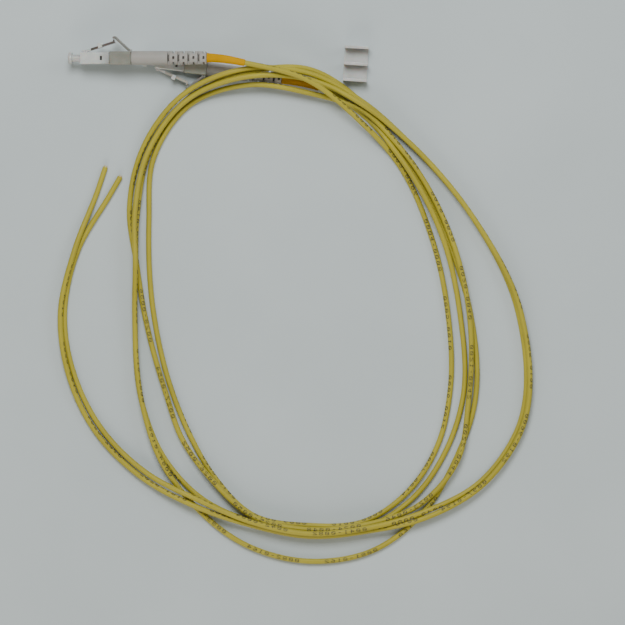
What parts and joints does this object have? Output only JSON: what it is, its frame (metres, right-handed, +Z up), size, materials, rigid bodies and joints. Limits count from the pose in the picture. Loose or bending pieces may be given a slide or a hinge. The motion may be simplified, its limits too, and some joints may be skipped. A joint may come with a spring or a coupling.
{
  "type": "fiber optic patch cord",
  "caption": "Duplex fibre optic cord wound in loose turns: square latching plugs with slotted boots and dust caps, bare cut far ends, and a loose clip that joins the plugs.",
  "frame": {"origin": "On the surface that the cord lies on, under the middle of the box round the two plugs and the clip. The cords, their sleeves and their cut ends are left out of that box.", "axes": "+Z up. +X along plug A from its dust cap to its boot, which is also the long way of the box. +Y the way that the latch of plug A points."},
  "size_m": [0.1787, 0.1986, 0.0134],
  "materials": {
    "cord_jacket": "satin",
    "aramid_yarn": "matte",
    "buffer_coat": "satin",
    "nose_plastic": "gloss",
    "body_plastic": "gloss",
    "zirconia": "polished",
    "nickel": "satin",
    "steel": "satin",
    "backbone_metal": "satin",
    "crimp_metal": "satin",
    "boot_rubber": "matte",
    "sleeve_rubber": "satin",
    "cap_plastic": "satin",
    "clip_plastic": "gloss"
  },
  "bodies": {
    "cords_and_plugs": {"cord_a": "cord_jacket", "cord_b": "cord_jacket", "cut_end_a": "cord_jacket", "cut_end_b": "cord_jacket", "yarn_end_a": "aramid_yarn", "yarn_end_b": "aramid_yarn", "buffer_end_a": "buffer_coat", "buffer_end_b": "buffer_coat", "front_housing_a": "nose_plastic", "front_housing_b": "nose_plastic", "rear_housing_a": "body_plastic", "rear_housing_b": "body_plastic", "spring_a": "steel", "spring_b": "steel", "backbone_a": "backbone_metal", "backbone_b": "backbone_metal", "crimp_ring_a": "crimp_metal", "crimp_ring_b": "crimp_metal", "buffer_a": "buffer_coat", "buffer_b": "buffer_coat", "boot_a": "boot_rubber", "boot_b": "boot_rubber", "sleeve_a": "sleeve_rubber", "sleeve_b": "sleeve_rubber"},
    "latch_a": {"latch_a": "nose_plastic"},
    "trigger_a": {"trigger_a": "body_plastic"},
    "ferrule_a": {"ferrule_a": "zirconia", "ferrule_flange_a": "nickel"},
    "dust_cap_a": {"dust_cap_a": "cap_plastic"},
    "latch_b": {"latch_b": "nose_plastic"},
    "trigger_b": {"trigger_b": "body_plastic"},
    "ferrule_b": {"ferrule_b": "zirconia", "ferrule_flange_b": "nickel"},
    "dust_cap_b": {"dust_cap_b": "cap_plastic"},
    "duplex_clip": {"duplex_clip": "clip_plastic"}
  },
  "joints": [
    {"name": "trigger_press_a", "type": "hinge", "parent": "cords_and_plugs", "child": "trigger_a", "pos_m": [-0.0335, 0.0045, 0.00793], "axis": [-0.1045, 0, 0.9945], "range_deg": [0, 20], "stiffness_Nm_per_rad": 0.0005},
    {"name": "latch_flex_a", "type": "hinge", "parent": "cords_and_plugs", "child": "latch_a", "pos_m": [-0.04931, 0.00425, 0.00627], "axis": [0.1045, 0, -0.9945], "range_deg": [0, 14], "stiffness_Nm_per_rad": 0.0005},
    {"name": "ferrule_push_a", "type": "slide", "parent": "cords_and_plugs", "child": "ferrule_a", "axis": [0.9945, 0, 0.1045], "range_m": [0, 0.0005], "stiffness_N_per_m": 500},
    {"name": "cap_pull_a", "type": "slide", "parent": "cords_and_plugs", "child": "dust_cap_a", "axis": [-0.9945, 0, -0.1045], "range_m": [0, 0.006]},
    {"name": "trigger_press_b", "type": "hinge", "parent": "cords_and_plugs", "child": "trigger_b", "pos_m": [-0.00576, -0.00532, 0.00265], "axis": [0, 0, -1], "range_deg": [0, 20], "stiffness_Nm_per_rad": 0.0005},
    {"name": "latch_flex_b", "type": "hinge", "parent": "cords_and_plugs", "child": "latch_b", "pos_m": [-0.02149, -0.00297, 0.00265], "axis": [0, 0, 1], "range_deg": [0, 14], "stiffness_Nm_per_rad": 0.0005},
    {"name": "ferrule_push_b", "type": "slide", "parent": "cords_and_plugs", "child": "ferrule_b", "axis": [0.9912, -0.1323, 0], "range_m": [0, 0.0005], "stiffness_N_per_m": 500},
    {"name": "cap_pull_b", "type": "slide", "parent": "cords_and_plugs", "child": "dust_cap_b", "axis": [-0.9912, 0.1323, 0], "range_m": [0, 0.006]},
    {"name": "clip_lift", "type": "slide", "parent": "cords_and_plugs", "child": "duplex_clip", "axis": [0, 0, 1], "range_m": [0, 0.02]}
  ],
  "couplings": [
    {"joint": "latch_flex_a", "follows": "trigger_press_a", "ratio": 0.7},
    {"joint": "latch_flex_b", "follows": "trigger_press_b", "ratio": 0.7}
  ]
}
